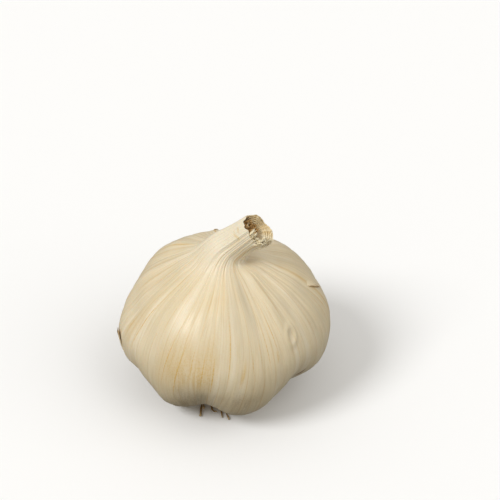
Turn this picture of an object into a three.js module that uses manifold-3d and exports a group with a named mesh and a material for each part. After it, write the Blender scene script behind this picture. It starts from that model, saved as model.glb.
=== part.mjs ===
// Garlic bulb, as it stands on a table: cloves wrapped in papery skin, a cut neck leaning over,
// the leaf sheaths and dry pith that show in the cut, and the root plate with its trimmed roots.
// Millimetres, +Z up. The origin is on the table, under the middle of the bulb.
// The bulb is drawn upright and round its own axis, and settle() then leans it and bends the neck.
import * as THREE from "three";
import { mergeVertices } from "three/addons/utils/BufferGeometryUtils.js";
import Module from "manifold-3d";

const wasm = await Module();
wasm.setup();

// Driving dimensions
const CUT_HEIGHT = 57.3; // from the table to the cut of the neck, measured along the axis
const SKIN_WALL = 0.75; // the outer leaf sheath where the neck is cut
const COLUMNS = 90; // round the bulb
const ROWS_PER_SPAN = 3; // between two points of the meridian

// The side of a mean clove from the root hollow to the neck: radius and height.
const MERIDIAN = [
  [7.7, 3.6],
  [9.3, 1.3],
  [12.0, -0.35],
  [15.6, 0.5],
  [20.2, 3.3],
  [24.8, 7.6],
  [27.9, 13.2],
  [28.9, 19.2],
  [28.0, 25.6],
  [24.9, 32.0],
  [19.8, 37.2],
  [13.6, 41.0],
  [8.0, 44.4],
  [5.4, 47.8],
  [4.6, 52.0],
  [4.2, CUT_HEIGHT],
].map(([r, z]) => new THREE.Vector2(r, z));

// The cloves, anticlockwise from +X seen from above. Each starts at its groove, in degrees, and the
// last four say how deep the groove is and how far the clove stands out at three heights.
const CLOVES = [
  { groove: 20, depth: 2.6, foot: 0.5, belly: 0.3, shoulder: 0.7 },
  { groove: 72, depth: 2.8, foot: 0.3, belly: 0.6, shoulder: 0.6 },
  { groove: 116, depth: 2.5, foot: 0.5, belly: 0.4, shoulder: 1.1 },
  { groove: 157, depth: 2.2, foot: -2.6, belly: 0.9, shoulder: -2.3 },
  { groove: 209, depth: 2.2, foot: 0.4, belly: -0.3, shoulder: 0.1 },
  { groove: 260, depth: 3.2, foot: 1.2, belly: 0.7, shoulder: 0.0 },
  { groove: 320, depth: 4.6, foot: -0.5, belly: 1.8, shoulder: 0.4 },
];

// The neck
const BEND_FROM = 42.5; // height at which the axis starts to bend
const BEND_TO = 49.5; // and where it is straight again, measured along it
const NECK_AZIMUTH = THREE.MathUtils.degToRad(-9); // the way the neck leans
const NECK_LEAN = THREE.MathUtils.degToRad(45); // from upright, past the bend
const PLEAT_HEIGHT = 0.15;
const RIB_HEIGHT = 0.12;
const RIBS = 22;
const FLARE = 2.2; // how far the torn edge curls out, on the underside
const FLARE_ANGLE = THREE.MathUtils.degToRad(-5);

// What stands in the cut
const SHEATH_WALL = 0.6;
const SHEATH_RADIUS = 2.7; // the outside of the rolled inner sheath
const SHEATH_TURNS = 1.25;
const SHEATH_PITCH = 0.95; // how much nearer the middle each turn lies
const PITH_RADIUS = 0.62;
const RECESS_RISE = 0.86; // where the floor of the hollow is, along the meridian
const STANDING_GAP = 0.35; // under the sheath and the pith
const SHEATH_BELOW_CUT = 0.6;
const PITH_BELOW_CUT = 1.8;

// The foot
const ROOT_OFFSET = -3.2; // the root plate is off to the left of the neck
const HOLLOW_CEILING = 4.8;
const PLATE_RADIUS = 6.3;
const PLATE_BOTTOM = 2.4;
const PLATE_TOP = 4.4;
const ROOT_SIDES = 5;
const STUBS = 20;

// The long roots at the front run out along the table under the groove: radius, then points.
const LONG_ROOTS = [
  [0.42, [-5.0, -4.4, 3.2], [-6.2, -8.5, 1.4], [-6.9, -13.0, 0.75], [-7.3, -18.5, 0.45]],
  [0.45, [-5.8, -3.6, 3.2], [-6.6, -9.5, 1.5], [-6.4, -15.9, 0.95]],
  [0.3, [-3.6, -4.9, 3.2], [-4.7, -10.0, 1.2], [-4.2, -14.6, 0.8], [-3.7, -16.5, 0.6], [-2.7, -17.2, 0.9]],
  [0.3, [-2.9, -4.6, 3.2], [-3.8, -9.8, 1.1], [-2.9, -13.5, 0.65], [-1.5, -16.2, 0.5], [-1.1, -19.0, 0.35]],
  [0.32, [-2.0, -4.2, 3.2], [-2.9, -9.4, 1.0], [-1.9, -13.0, 0.55], [-0.1, -17.0, 0.45], [0.9, -20.0, 0.4]],
];

// Loose flakes of skin: azimuth and half width in degrees, where their foot and tip are along the
// meridian, and how far the tip stands off.
const FLAKES = [
  { at: 184, halfWidth: 3.0, foot: 0.42, tip: 0.475, lift: 1.4 },
  { at: 2, halfWidth: 3.6, foot: 0.62, tip: 0.59, lift: 0.8 },
  { at: 98, halfWidth: 4.0, foot: 0.64, tip: 0.665, lift: 0.45 },
];
const FLAKE_THICKNESS = 0.6;
const FLAKE_SUNK = 0.5; // how deep its foot is in the skin

// Brings the middle of the bulb over the origin.
const MIDDLE = [1.15, -0.35];

const AXIS_STEPS = 16; // for summing up the bend of the neck
const TURN = 2 * Math.PI;
const clamp = THREE.MathUtils.clamp;
const ease = THREE.MathUtils.smoothstep;
const mix = THREE.MathUtils.lerp;

// A repeatable random number from 0 to 1.
function makeDraw(seed) {
  let state = seed;
  return () => {
    state = (state * 1664525 + 1013904223) % 4294967296;
    return state / 4294967296;
  };
}

const aside = new THREE.Vector3(Math.cos(NECK_AZIMUTH), Math.sin(NECK_AZIMUTH), 0);
const across = new THREE.Vector3(-aside.y, aside.x, 0);

// How far the axis has leaned over, at a height measured along it.
function leanAt(height) {
  return NECK_LEAN * ease(height, BEND_FROM, BEND_TO);
}

// The middle of the neck at that height, summed up in small steps.
function neckMiddle(height) {
  const middle = new THREE.Vector3(0, 0, BEND_FROM);
  const step = (height - BEND_FROM) / AXIS_STEPS;
  for (let i = 0; i < AXIS_STEPS; i++) {
    const lean = leanAt(BEND_FROM + (i + 0.5) * step);
    middle.addScaledVector(aside, step * Math.sin(lean));
    middle.z += step * Math.cos(lean);
  }
  return middle;
}

// Carries a point of the upright bulb to where it is on the real one: the foot is drawn to one side,
// and the neck leans to the other.
function settle(p) {
  if (p.z <= BEND_FROM) {
    const down = 1 - clamp(p.z / BEND_FROM, 0, 1);
    return new THREE.Vector3(p.x + ROOT_OFFSET * down * down, p.y, p.z);
  }
  const lean = leanAt(p.z);
  const side = aside.clone().multiplyScalar(Math.cos(lean)).setZ(-Math.sin(lean));
  return neckMiddle(p.z).addScaledVector(side, p.dot(aside)).addScaledVector(across, p.dot(across));
}

// A closed skin of rows round the axis: place(row, angle) gives a point, and each end closes on a pole.
function closedSkin(rowCount, columnCount, place, firstPole, lastPole) {
  const points = [firstPole];
  for (let row = 0; row < rowCount; row++)
    for (let column = 0; column < columnCount; column++)
      points.push(place(row, (TURN * column) / columnCount));
  points.push(lastPole);
  const index = [];
  const at = (row, column) => 1 + row * columnCount + (column % columnCount);
  for (let column = 0; column < columnCount; column++) {
    index.push(0, at(0, column + 1), at(0, column));
    for (let row = 0; row + 1 < rowCount; row++) {
      const [a, b] = [at(row, column), at(row, column + 1)];
      const [c, d] = [at(row + 1, column), at(row + 1, column + 1)];
      index.push(a, b, d, a, d, c);
    }
    index.push(points.length - 1, at(rowCount - 1, column), at(rowCount - 1, column + 1));
  }
  return new THREE.BufferGeometry().setFromPoints(points).setIndex(index);
}

function toSolid(geometry) {
  const bare = geometry.clone();
  bare.deleteAttribute("normal");
  bare.deleteAttribute("uv");
  const merged = mergeVertices(bare, 1e-4);
  return new wasm.Manifold(
    new wasm.Mesh({
      numProp: 3,
      vertProperties: merged.attributes.position.array,
      triVerts: new Uint32Array(merged.index.array),
    }),
  );
}

function toGeometry(solid) {
  const mesh = solid.getMesh();
  return new THREE.BufferGeometry()
    .setAttribute("position", new THREE.BufferAttribute(mesh.vertProperties, 3))
    .setIndex(new THREE.BufferAttribute(mesh.triVerts, 1));
}

// Moves every point of a geometry.
function reshape(geometry, move) {
  const position = geometry.attributes.position;
  for (let i = 0; i < position.count; i++) {
    const q = move(new THREE.Vector3().fromBufferAttribute(position, i));
    position.setXYZ(i, q.x, q.y, q.z);
  }
  return geometry;
}

// Which clove an angle falls on, and how far across it, from 0 to 1.
function cloveAt(angle) {
  const degrees = THREE.MathUtils.radToDeg(angle);
  for (let i = 0; i < CLOVES.length; i++) {
    const from = CLOVES[i].groove;
    const to = i + 1 < CLOVES.length ? CLOVES[i + 1].groove : CLOVES[0].groove + 360;
    const past = THREE.MathUtils.euclideanModulo(degrees - from, 360);
    if (past < to - from) return { clove: i, share: past / (to - from) };
  }
}

// A measure of the cloves at an angle: its own on the crown of each, and half way in the grooves.
function measureAt(name, { clove, share }) {
  const beside = (clove + (share < 0.5 ? CLOVES.length - 1 : 1)) % CLOVES.length;
  return mix(CLOVES[clove][name], CLOVES[beside][name], 0.5 * ease(Math.abs(2 * share - 1), 0, 1));
}

// How full a clove is across its width: 0 in the groove, 1 on its crown.
function fullness(share, exponent) {
  const soft = 0.4;
  const wave = Math.hypot(Math.sin(Math.PI * share), soft);
  return Math.pow((wave - soft) / (Math.hypot(1, soft) - soft), exponent);
}

// 1 between two heights and 0 away from them. rise goes from 0 at the root to 1 at the cut.
function band(rise, start, full, fade, end) {
  return ease(rise, start, full) * (1 - ease(rise, fade, end));
}

// The relief of the cloves, out from the mean side. Low down their crowns are rounder.
function cloveRelief(rise, angle) {
  const place = cloveAt(angle);
  const depth = mix(
    CLOVES[place.clove].depth,
    CLOVES[(place.clove + 1) % CLOVES.length].depth,
    place.share,
  );
  const full = fullness(place.share, mix(1.25, 0.75, ease(rise, 0.15, 0.4)));
  return (
    depth * (full - 1) * (1 - 0.8 * ease(rise, 0.33, 0.52)) * (1 - ease(rise, 0.5, 0.8)) +
    measureAt("foot", place) * band(rise, 0.12, 0.26, 0.32, 0.42) +
    measureAt("belly", place) * band(rise, 0.26, 0.42, 0.48, 0.66) +
    measureAt("shoulder", place) * band(rise, 0.46, 0.58, 0.66, 0.78)
  );
}

// Where the skin gathers into the neck it is pleated, and the neck itself is finely ribbed.
function neckRelief(rise, angle) {
  const pleats = 0.5 * Math.cos(11 * angle + 0.6) + 0.5 * Math.cos(17 * angle + 2.1);
  const gathered = ease(rise, 0.6, 0.82) * (1 - 0.6 * ease(rise, 0.86, 1));
  return PLEAT_HEIGHT * pleats * gathered + RIB_HEIGHT * Math.cos(RIBS * angle) * ease(rise, 0.76, 0.86);
}

// How much an angle is on the underside of the neck, from 0 to 1.
function underside(angle) {
  return Math.pow(Math.max(0, Math.cos(angle - FLARE_ANGLE)), 1.5);
}

// The torn edge of the outer sheath: how far it stands above or below the cut.
function tear(angle) {
  const frill = 0.5 * Math.sin(19 * angle) + 0.5 * Math.sin(28 * angle + 2);
  return (
    0.45 * Math.cos(angle - 2.8) +
    0.35 * Math.sin(5 * angle) +
    0.25 * Math.sin(11 * angle + 1) +
    0.7 * frill * underside(angle)
  );
}

const meridian = new THREE.SplineCurve(MERIDIAN);
const SPANS = MERIDIAN.length - 1;

// A point of the outer skin on the upright bulb, or one that stands proud of it.
function skinPoint(rise, angle, proud = 0) {
  const { x: radius, y: height } = meridian.getPoint(rise);
  const slope = meridian.getTangent(rise);
  const frill = underside(angle) * (FLARE + 0.35 * Math.cos(16 * angle)) * ease(rise, 0.93, 1.02);
  const out = cloveRelief(rise, angle) + neckRelief(rise, angle) + frill + proud;
  const r = radius + slope.y * out;
  const z = height - slope.x * out + tear(angle) * ease(rise, 0.85, 1);
  return new THREE.Vector3(r * Math.cos(angle), r * Math.sin(angle), Math.max(z, 0));
}

// The hollow for the roots starts flat, inside the first row of the skin.
function hollowCeiling(share, angle) {
  const r = share * MERIDIAN[0].x;
  return new THREE.Vector3(r * Math.cos(angle), r * Math.sin(angle), HOLLOW_CEILING);
}

// The inside of the cut neck, a wall's thickness in from the outside.
function insidePoint(rise, angle) {
  const p = skinPoint(rise, angle);
  const r = Math.hypot(p.x, p.y);
  return p.multiply(new THREE.Vector3((r - SKIN_WALL) / r, (r - SKIN_WALL) / r, 1));
}

// The skin that wraps the cloves, up to the torn end of the neck, with the hollow for the roots below.
function makeWrappedBulb() {
  const rows = [0.4, 0.8, 1].map((share) => (angle) => hollowCeiling(share, angle));
  for (let i = 0; i <= SPANS * ROWS_PER_SPAN; i++)
    rows.push((angle) => skinPoint(i / (SPANS * ROWS_PER_SPAN), angle));
  for (const rise of [1, 0.97, 0.93, RECESS_RISE]) rows.push((angle) => insidePoint(rise, angle));
  const floorHeight = meridian.getPoint(RECESS_RISE).y;
  const skin = closedSkin(
    rows.length,
    COLUMNS,
    (row, angle) => settle(rows[row](angle)),
    settle(new THREE.Vector3(0, 0, HOLLOW_CEILING)),
    settle(new THREE.Vector3(0, 0, floorHeight)),
  );
  return FLAKES.reduce((solid, flake) => solid.add(makeFlake(flake)), toSolid(skin));
}

// A loose flake: a thin curved blade whose foot is sunk in the skin and whose tip stands off it.
function makeFlake({ at, halfWidth, foot, tip, lift }) {
  const blade = new THREE.BoxGeometry(2, 1, FLAKE_THICKNESS, 6, 4, 1);
  blade.translate(0, 0.5, -FLAKE_THICKNESS / 2);
  const bend = ({ x, y, z }) => {
    const narrowing = Math.sign(tip - foot) * (1 - 0.75 * y * y);
    const angle = THREE.MathUtils.degToRad(at + x * halfWidth * narrowing);
    return settle(skinPoint(mix(foot, tip, y), angle, z + mix(-FLAKE_SUNK, lift, y)));
  };
  return toSolid(reshape(blade, bend));
}

// The inner leaf sheath, rolled up like a scroll inside the outer one, with a torn top.
function makeInnerSheath() {
  const steps = 44;
  const outer = [];
  const inner = [];
  for (let i = 0; i <= steps; i++) {
    const angle = (TURN * SHEATH_TURNS * i) / steps - 1.2;
    const r = SHEATH_RADIUS - (SHEATH_PITCH * SHEATH_TURNS * i) / steps;
    outer.push(new THREE.Vector2(r * Math.cos(angle), r * Math.sin(angle)));
    const inside = r - SHEATH_WALL;
    inner.push(new THREE.Vector2(inside * Math.cos(angle), inside * Math.sin(angle)));
  }
  const shape = new THREE.Shape([...outer, ...inner.reverse()]);
  const floor = meridian.getPoint(RECESS_RISE).y + STANDING_GAP;
  const top = CUT_HEIGHT - SHEATH_BELOW_CUT;
  const scroll = new THREE.ExtrudeGeometry(shape, { depth: 1, steps: 4, bevelEnabled: false });
  return toSolid(
    reshape(scroll, ({ x, y, z }) => {
      const angle = Math.atan2(y, x);
      const ragged = 0.5 * Math.sin(7 * angle + 4 * x) + 0.4 * Math.sin(13 * angle);
      return settle(new THREE.Vector3(x, y, mix(floor, top + ragged, z)));
    }),
  );
}

// The dry pith in the middle, broken off unevenly.
function makePith() {
  const floor = meridian.getPoint(RECESS_RISE).y + STANDING_GAP;
  const height = CUT_HEIGHT - PITH_BELOW_CUT - floor;
  const profile = [
    [0, 0],
    [PITH_RADIUS, 0],
    [PITH_RADIUS, height / 2],
    [PITH_RADIUS * 0.85, height],
    [0, height - 0.4],
  ].map(([r, z]) => new THREE.Vector2(r, z));
  const lathe = new THREE.LatheGeometry(profile, 12).rotateX(Math.PI / 2);
  return toSolid(
    reshape(lathe, ({ x, y, z }) => {
      const ragged = z > height / 2 ? 0.35 * Math.sin(9 * x + 5 * y) : 0;
      return settle(new THREE.Vector3(x, y, floor + z + ragged));
    }),
  );
}

// A root: a thin tube with few sides along a bent path, its foot sunk in the plate.
function makeRoot(radius, points) {
  const path = new THREE.CatmullRomCurve3(points);
  const corners = Array.from({ length: ROOT_SIDES }, (_, i) => {
    const angle = (TURN * i) / ROOT_SIDES;
    return new THREE.Vector2(radius * Math.cos(angle), radius * Math.sin(angle));
  });
  const steps = 3 * (points.length - 1);
  return toSolid(
    new THREE.ExtrudeGeometry(new THREE.Shape(corners), { steps, extrudePath: path, bevelEnabled: false }),
  );
}

// The corky root plate, with the long roots at the front and short stubs all over it.
function makeRootPlate() {
  const profile = [
    [0, PLATE_BOTTOM + 0.6],
    [2.2, PLATE_BOTTOM + 0.2],
    [PLATE_RADIUS * 0.8, PLATE_BOTTOM],
    [PLATE_RADIUS, PLATE_BOTTOM + 0.7],
    [PLATE_RADIUS, PLATE_TOP - 0.3],
    [PLATE_RADIUS - 0.5, PLATE_TOP],
    [0, PLATE_TOP],
  ].map(([r, z]) => new THREE.Vector2(r, z));
  const plate = new THREE.LatheGeometry(profile, 28).rotateX(Math.PI / 2);
  const disc = toSolid(
    reshape(plate, (p) => {
      const angle = Math.atan2(p.y, p.x);
      const uneven = 1 + 0.03 * Math.cos(5 * angle + 1);
      return settle(new THREE.Vector3(p.x * uneven, p.y * uneven, p.z));
    }),
  );
  const roots = LONG_ROOTS.map(([radius, ...points]) => {
    const path = points.map((p) => new THREE.Vector3(...p));
    return makeRoot(radius, path);
  });
  const draw = makeDraw(11);
  for (let i = 0; i < STUBS; i++) {
    const angle = TURN * ((i * 0.618) % 1) + 0.3 * draw();
    const reach = PLATE_RADIUS * Math.sqrt(mix(0.15, 0.7, draw()));
    const length = mix(1.2, 2.6, draw());
    const out = new THREE.Vector3(Math.cos(angle), Math.sin(angle), 0);
    const turn = out.clone().applyAxisAngle(new THREE.Vector3(0, 0, 1), mix(-0.8, 0.8, draw()));
    const foot = out.clone().multiplyScalar(reach).setZ(PLATE_BOTTOM + 1);
    foot.x += ROOT_OFFSET;
    const knee = foot.clone().addScaledVector(turn, 0.3 * length).setZ(PLATE_BOTTOM - 0.3);
    const tip = knee.clone().addScaledVector(turn, length).setZ(mix(0.6, 1.4, draw()));
    roots.push(makeRoot(mix(0.3, 0.45, draw()), [foot, knee, tip]));
  }
  return roots.reduce((solid, root) => solid.add(root), disc);
}

const material = (color, roughness) => new THREE.MeshStandardMaterial({ color, roughness, metalness: 0 });
const skinPaper = material("#e6d8b6", 0.55);
const sheathPaper = material("#d9c493", 0.7);
const dryPith = material("#9a7440", 0.9);
const dryRoot = material("#6b5230", 0.85);

function makePiece(name, solid, finish) {
  const mesh = new THREE.Mesh(toGeometry(solid), finish);
  mesh.name = name;
  return mesh;
}

const garlic = new THREE.Group();
garlic.position.set(...MIDDLE, 0);
garlic.add(makePiece("wrapped_bulb", makeWrappedBulb(), skinPaper));
garlic.add(makePiece("inner_sheath", makeInnerSheath(), sheathPaper));
garlic.add(makePiece("neck_pith", makePith(), dryPith));
garlic.add(makePiece("root_plate", makeRootPlate(), dryRoot));

export default garlic;
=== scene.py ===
# Looks of the garlic bulb: papery skin with its veins, the torn end of the neck, and dry roots.
# The skin follows the formula of the solid that it stands for, with lower pleats and ribs and with
# a rim that opens wider on one side, and adds its fine relief. The formula is in millimetres on an
# upright bulb, and placed() settles each point and turns it to metres.
import functools
import math
import random

import bmesh
import bpy
from mathutils import Matrix, Vector, noise


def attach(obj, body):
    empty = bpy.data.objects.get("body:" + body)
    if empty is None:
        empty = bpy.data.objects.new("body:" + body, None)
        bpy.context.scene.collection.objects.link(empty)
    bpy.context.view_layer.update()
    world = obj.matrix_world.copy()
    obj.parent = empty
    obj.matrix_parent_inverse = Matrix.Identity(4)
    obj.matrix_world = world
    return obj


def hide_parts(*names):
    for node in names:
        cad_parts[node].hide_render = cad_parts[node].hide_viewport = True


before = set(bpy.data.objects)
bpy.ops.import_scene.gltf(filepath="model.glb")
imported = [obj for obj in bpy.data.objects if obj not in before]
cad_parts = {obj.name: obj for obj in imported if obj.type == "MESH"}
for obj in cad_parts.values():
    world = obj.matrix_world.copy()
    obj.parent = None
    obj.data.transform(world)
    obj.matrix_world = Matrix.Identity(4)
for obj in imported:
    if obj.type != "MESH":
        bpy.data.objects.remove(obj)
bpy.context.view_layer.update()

MM = 0.001
TURN = 2 * math.pi
UP = Vector((0, 0, 1))

# The camera: the photograph's frame, and where the middle of the bulb is in it
PHOTO_SIZE = 500  # pixels
PHOTO_MM_PER_PIXEL = 60 / 210
BULB_PIXEL = (226, 316)
BULB_MIDDLE = Vector((1.15, -0.35, 22))
CAMERA_ELEVATION = math.radians(38)
LENS = 150  # mm
SENSOR = 36  # mm

# Colours
SKIN_IVORY = "#E5D7BA"
SKIN_CREAM = "#DFCCA4"
# Pale skin, which is also painted on as a highlight where the key light falls on the left lobe
SKIN_PALE_AND_HIGHLIGHT = "#EFE4CC"
SKIN_DULL = "#CDB98F"
# Duller grey skin, which is also painted on as shade on the right and under the neck
SHADE_AND_DULL_GREY = "#C6B89A"
VEIN_TAN = "#D0AC68"
VEIN_ORANGE = "#D4A648"
STAIN_TAN = "#D6B26A"
INSIDE_TAN = "#D2B27A"
# Painted shade: darker brown towards the bottom of the bulb and in patches low down
LOW_SHADE_BROWN = "#8A7550"
LEAF_PALE = "#F2E6C6"
LEAF_TAN = "#D9BD88"
LEAF_BROWN = "#A27B43"
TORN_WHITE = "#FFF4D6"
TORN_IVORY = "#F4E0AE"
PITH_TAN = "#CDA86C"
PITH_BROWN = "#8F6536"
ROOT_BROWN = "#A28355"
ROOT_DARK = "#6E532F"
ROOT_TIP = "#C4AA7C"
CORK_TAN = "#8C744E"
CORK_DARK = "#54432B"
BOARD_WHITE = "#F6F6F6"
SKY_WHITE = "#FFFDF8"

# The light
FLOOR_SIZE = 6  # metres
SKY_BELOW = 0.14  # how strong the sky is from below
SKY_ABOVE = 0.6
# Each lamp: the azimuth and elevation of where it stands and how broad it looks, in degrees, and its
# strength
LAMPS = {"key": (213, 46, 24, 1.6), "fill": (-20, 42, 60, 0.6)}

# The side of a mean clove, from the root hollow to the neck: radius and height
CUT_HEIGHT = 57.3
NECK_RADIUS = 4.6
MERIDIAN = [
    (7.7, 3.6),
    (9.3, 1.3),
    (12.0, -0.35),
    (15.6, 0.5),
    (20.2, 3.3),
    (24.8, 7.6),
    (27.9, 13.2),
    (28.9, 19.2),
    (28.0, 25.6),
    (24.9, 32.0),
    (19.8, 37.2),
    (13.6, 41.0),
    (8.0, 44.4),
    (5.4, 47.8),
    (NECK_RADIUS, 52.0),
    (4.2, CUT_HEIGHT),
]

# The cloves: each starts at its groove, in degrees anticlockwise from +X. Then the depth of the
# groove, and how far the clove stands out at its foot, belly and shoulder.
CLOVES = [
    {"groove": 20, "depth": 2.6, "foot": 0.5, "belly": 0.3, "shoulder": 0.7},
    {"groove": 72, "depth": 2.8, "foot": 0.3, "belly": 0.6, "shoulder": 0.6},
    {"groove": 116, "depth": 2.5, "foot": 0.5, "belly": 0.4, "shoulder": 1.1},
    {"groove": 157, "depth": 2.2, "foot": -2.6, "belly": 0.9, "shoulder": -2.3},
    {"groove": 209, "depth": 2.2, "foot": 0.4, "belly": -0.3, "shoulder": 0.1},
    {"groove": 260, "depth": 3.2, "foot": 1.2, "belly": 0.7, "shoulder": 0.0},
    {"groove": 320, "depth": 4.6, "foot": -0.5, "belly": 1.8, "shoulder": 0.4},
]

# The neck
BEND_FROM = 42.5  # the height at which the axis starts to bend
BEND_TO = 49.5  # and where it is straight again, measured along it
NECK_AZIMUTH = math.radians(-9)  # the way the neck leans
NECK_LEAN = math.radians(45)
PLEAT_HEIGHT = 0.07
RIB_HEIGHT = 0.04
RIBS = 22
FLARE = 2.2  # how far the torn edge curls out, on the underside
FLARE_ANGLE = math.radians(-5)
RECESS_RISE = 0.86  # where the floor of the cut is, along the meridian
RECESS_WALL_SHARE = 0.77  # how much of the inside's rows are on its wall, and the rest on its floor

# The rim of the fine skin: it is thinner than on the solid. On its wide side, which faces right and
# away, it is smoother too, opens further and stands higher.
RIM_WALL = 0.45
WIDE_SIDE = math.radians(50)
WIDE_FLARE = 0.6
WIDE_RIM = 0.7

# The foot
ROOT_OFFSET = -3.2  # the root plate is off to the left of the neck
HOLLOW_CEILING = 4.8
PLATE_RADIUS = 6.3
PLATE_BOTTOM = 2.4
PLATE_TOP = 4.4
MIDDLE = Vector((1.15, -0.35, 0))  # brings the middle of the bulb over the origin

# The long roots at the front: radius, then points
LONG_ROOTS = [
    (0.42, (-5.0, -4.4, 3.2), (-6.2, -8.5, 1.4), (-6.9, -13.0, 0.75), (-7.3, -18.5, 0.45)),
    (0.45, (-5.8, -3.6, 3.2), (-6.6, -9.5, 1.5), (-6.4, -15.9, 0.95)),
    (0.3, (-3.6, -4.9, 3.2), (-4.7, -10.0, 1.2), (-4.2, -14.6, 0.8), (-3.7, -16.5, 0.6),
     (-2.7, -17.2, 0.9)),
    (0.3, (-2.9, -4.6, 3.2), (-3.8, -9.8, 1.1), (-2.9, -13.5, 0.65), (-1.5, -16.2, 0.5),
     (-1.1, -19.0, 0.35)),
    (0.32, (-2.0, -4.2, 3.2), (-2.9, -9.4, 1.0), (-1.9, -13.0, 0.55), (-0.1, -17.0, 0.45),
     (0.9, -20.0, 0.4)),
]
STUBS = 40
STUB_STEP = 0.618  # how much of a turn each stub is on from the last

# The grid of the fine skin
COLUMNS = 384
CEILING_ROWS = 6
SIDE_ROWS = 212
INSIDE_ROWS = 20
ROWS = CEILING_ROWS + SIDE_ROWS + INSIDE_ROWS
SEAM = math.radians(90)  # where the grid's two edges meet, at the back
MERIDIAN_LENGTH = 76  # mm along the side, from the root hollow to the cut
BELLY_RADIUS = 28  # mm

# The veins that run up it. There are waves in their spacing: the size of each in veins, how many come
# in a turn, and where it starts. There are waves in their way up too: the size of each in turns, how
# many come in a turn and along the side, and where it starts.
VEINS = 62
VEIN_SPACING = [(1.3, 2, 1), (0.8, 7, 2)]
VEIN_WANDER = [(0.006, 3, 0.9, 0), (0.003, 8, -1.7, 1)]

# Between two veins the skin is full: how high, over their spacing, on the belly and on the neck
BELLY_FULLNESS = 0.022
NECK_FULLNESS = 0.12

# The rest of the fine relief: the height of each kind in mm, how often it comes in the bulb's radius
# and along the side, and where its noise starts
FINE_RELIEF = {
    "folds": (0.35, 3.2, 4, 0),
    "small folds": (0.16, 10, 4, 7),
    "wrinkles": (0.06, 34, 14, 3),
    "pleats": (0.13, 17, 2, 1),
    "grooves": (0.16, 12, 2, 5),
}

# The patterns in the skin, in mm
FIBRE_WIDTH = 0.7
STREAK_WIDTH = 2.6
STREAK_SHAPE = 0.12  # the width over the length of fibres and streaks
CLOUD_SIZE = 12
GRAIN_SIZE = 0.4
GATHER_WIDTH = 0.4

# The many small veins: how many run to each one of VEINS, half width over their spacing, and strength
SMALL_VEINS = [(1, 0.07, 0.95), (3, 0.16, 0.45)]

# The strongest veins at the front: the turn from the seam that each is at where the rise is 0.6, how
# far it drifts as it rises, the rise of its middle, its half length, and its strength
MAIN_VEINS = [
    (0.232, 0.0, 0.66, 0.09, 0.4),
    (0.249, 0.0, 0.67, 0.09, 0.4),
    (0.2935, 0.0, 0.55, 0.1, 0.55),
    (0.3305, 0.08, 0.58, 0.14, 1.0),
    (0.354, 0.09, 0.6, 0.1, 0.3),
    (0.372, 0.05, 0.57, 0.1, 0.3),
    (0.385, 0.04, 0.68, 0.16, 0.7),
    (0.4165, 0.064, 0.56, 0.18, 0.8),
    (0.442, 0.07, 0.5, 0.14, 0.85),
    (0.457, 0.02, 0.54, 0.08, 0.55),
    (0.4733, 0.03, 0.52, 0.09, 0.7),
    (0.4855, 0.007, 0.5, 0.11, 0.75),
    (0.506, -0.01, 0.61, 0.15, 0.9),
    (0.54, -0.08, 0.56, 0.1, 0.5),
    (0.557, -0.045, 0.6, 0.14, 0.5),
    (0.57, -0.035, 0.6, 0.14, 0.5),
    (0.5868, -0.02, 0.63, 0.14, 0.7),
    (0.6015, 0.0, 0.66, 0.11, 0.4),
    (0.6205, 0.0, 0.67, 0.11, 0.6),
    (0.6415, 0.0, 0.65, 0.09, 0.35),
]
VEIN_HALF_WIDTH = 0.24  # mm

# Veins as strong on the sides and the back: how many, the turn that they start at, and how much of a
# turn they take
HIDDEN_VEINS = 18
HIDDEN_FROM = 0.67
HIDDEN_SPREAD = 0.54

# Tan stains: the turn of each where the rise is 0.6, the rise of its middle, its half width in turns,
# its half length along the rise, and its strength. The stains and the patches drift as they rise.
PATCH_DRIFT = 0.05
STAINS = [
    (0.438, 0.515, 0.062, 0.135, 0.8),
    (0.4, 0.94, 0.05, 0.05, 0.3),
    (0.35, 0.952, 0.09, 0.007, 0.9),
    (0.31, 0.58, 0.03, 0.12, 0.4),
    (0.294, 0.53, 0.012, 0.06, 0.6),
    (0.478, 0.52, 0.022, 0.13, 0.8),
    (0.534, 0.52, 0.005, 0.055, 0.8),
    (0.588, 0.545, 0.0025, 0.026, 1.3),
    (0.3, 0.967, 0.06, 0.006, 0.8),
    (0.75, 0.96, 0.1, 0.008, 0.7),
    (0.05, 0.5, 0.03, 0.1, 0.7),
    (0.83, 0.42, 0.04, 0.09, 0.7),
]

# Patches painted paler, as a painted highlight, measured as the stains are
HIGHLIGHT_PATCHES = [(0.4, 0.66, 0.035, 0.17, 0.35)]
# Patches painted duller: partly duller skin, and partly painted shade, most of it on the right and under
# the neck, measured as the stains are
SHADE_AND_DULL_PATCHES = [
    (0.535, 0.69, 0.06, 0.22, 1.0),
    (0.475, 0.6, 0.03, 0.12, 0.4),
    (0.7, 0.61, 0.055, 0.15, 0.7),
    (0.635, 0.66, 0.05, 0.15, 0.6),
    (0.7, 0.82, 0.13, 0.1, 0.75),
    (0.1, 0.6, 0.05, 0.15, 0.6),
    (0.9, 0.65, 0.06, 0.18, 0.6),
]

# Painted shade in patches low down, measured as the stains are
LOW_SHADE_PATCHES = [
    (0.462, 0.37, 0.055, 0.12, 0.75),
    (0.54, 0.4, 0.05, 0.09, 0.5),
    (0.16, 0.38, 0.05, 0.1, 0.5),
    (0.86, 0.37, 0.05, 0.1, 0.5),
]

# Painted shade in the creases low down: the turn where the rise is 0.6, how far it drifts, the rise
# of its middle, half width in turns, half length along the rise, and strength
CREASE_SHADOWS = [
    (0.688, 0.16, 0.4, 0.007, 0.03, 1.3),
    (0.15, 0.2, 0.42, 0.005, 0.03, 0.8),
]

# Where tan lines show in the gathers of the neck, on its near side and underside, measured as the
# creases are
GATHERS = (0.54, 0.0, 0.9, 0.25, 0.25)

# The nail-shaped dimple on the right: turn, rise, radius in mm, and depth
DIMPLE = (0.62, 0.582, 3.2, 0.26)

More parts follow.
